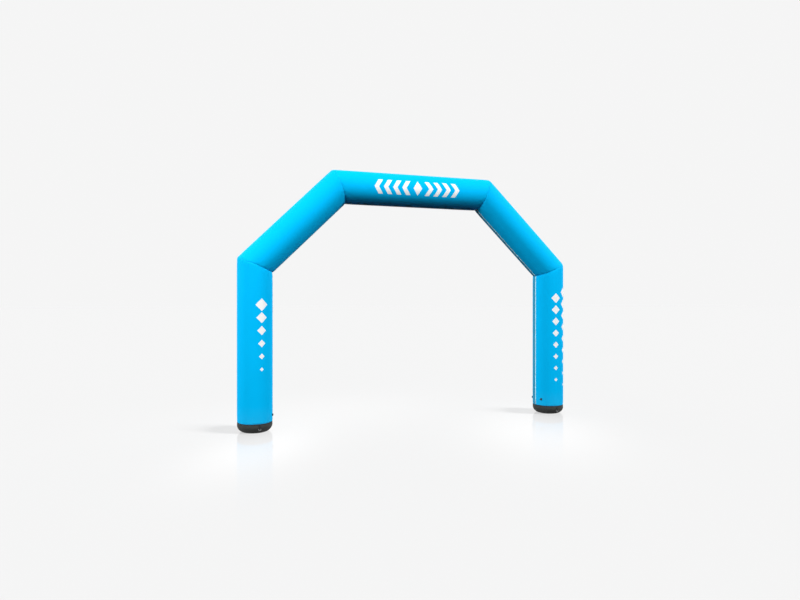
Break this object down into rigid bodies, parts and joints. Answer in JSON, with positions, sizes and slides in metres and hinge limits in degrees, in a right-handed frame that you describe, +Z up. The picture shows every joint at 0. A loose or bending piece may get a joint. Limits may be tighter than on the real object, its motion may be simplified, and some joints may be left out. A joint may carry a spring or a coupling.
{
  "type": "inflatable arch",
  "caption": "Free-standing inflatable gateway arch of air-filled fabric tubes mitred into a flat-topped span, on dark rounded boots, with zip, valves and guy rings.",
  "frame": {"origin": "on the floor, midway between the two boots and centred front to back", "axes": "+X across the gateway from the left boot to the right one as seen from the front, +Y through the passage from front to back, +Z up"},
  "size_m": [5.5198, 0.528, 3.9999],
  "materials": {
    "cover": "printed woven polyester, matt with a slight sheen, drum tight",
    "boot": "coated heavy woven fabric, dark grey, matt",
    "zip": "white zip chain, satin",
    "webbing": "black woven webbing, matt",
    "metal": "plated steel, satin",
    "valve": "black moulded plastic, satin"
  },
  "bodies": {
    "root": {"left_leg_cover": "cover", "left_diagonal_cover": "cover", "beam_cover": "cover", "right_diagonal_cover": "cover", "right_leg_cover": "cover", "left_boot": "boot", "right_boot": "boot", "zip_facing": "cover", "zip_chain": "zip", "zip_slider": "metal", "zip_pull": "metal", "right_front_valve_flange": "valve", "right_front_valve_cap": "valve", "right_back_valve_flange": "valve", "right_back_valve_cap": "valve", "left_valve_flange": "valve", "left_valve_cap": "valve", "left_ring_tab": "webbing", "left_guy_ring": "metal", "right_ring_tab": "webbing", "right_guy_ring": "metal"}
  },
  "joints": []
}
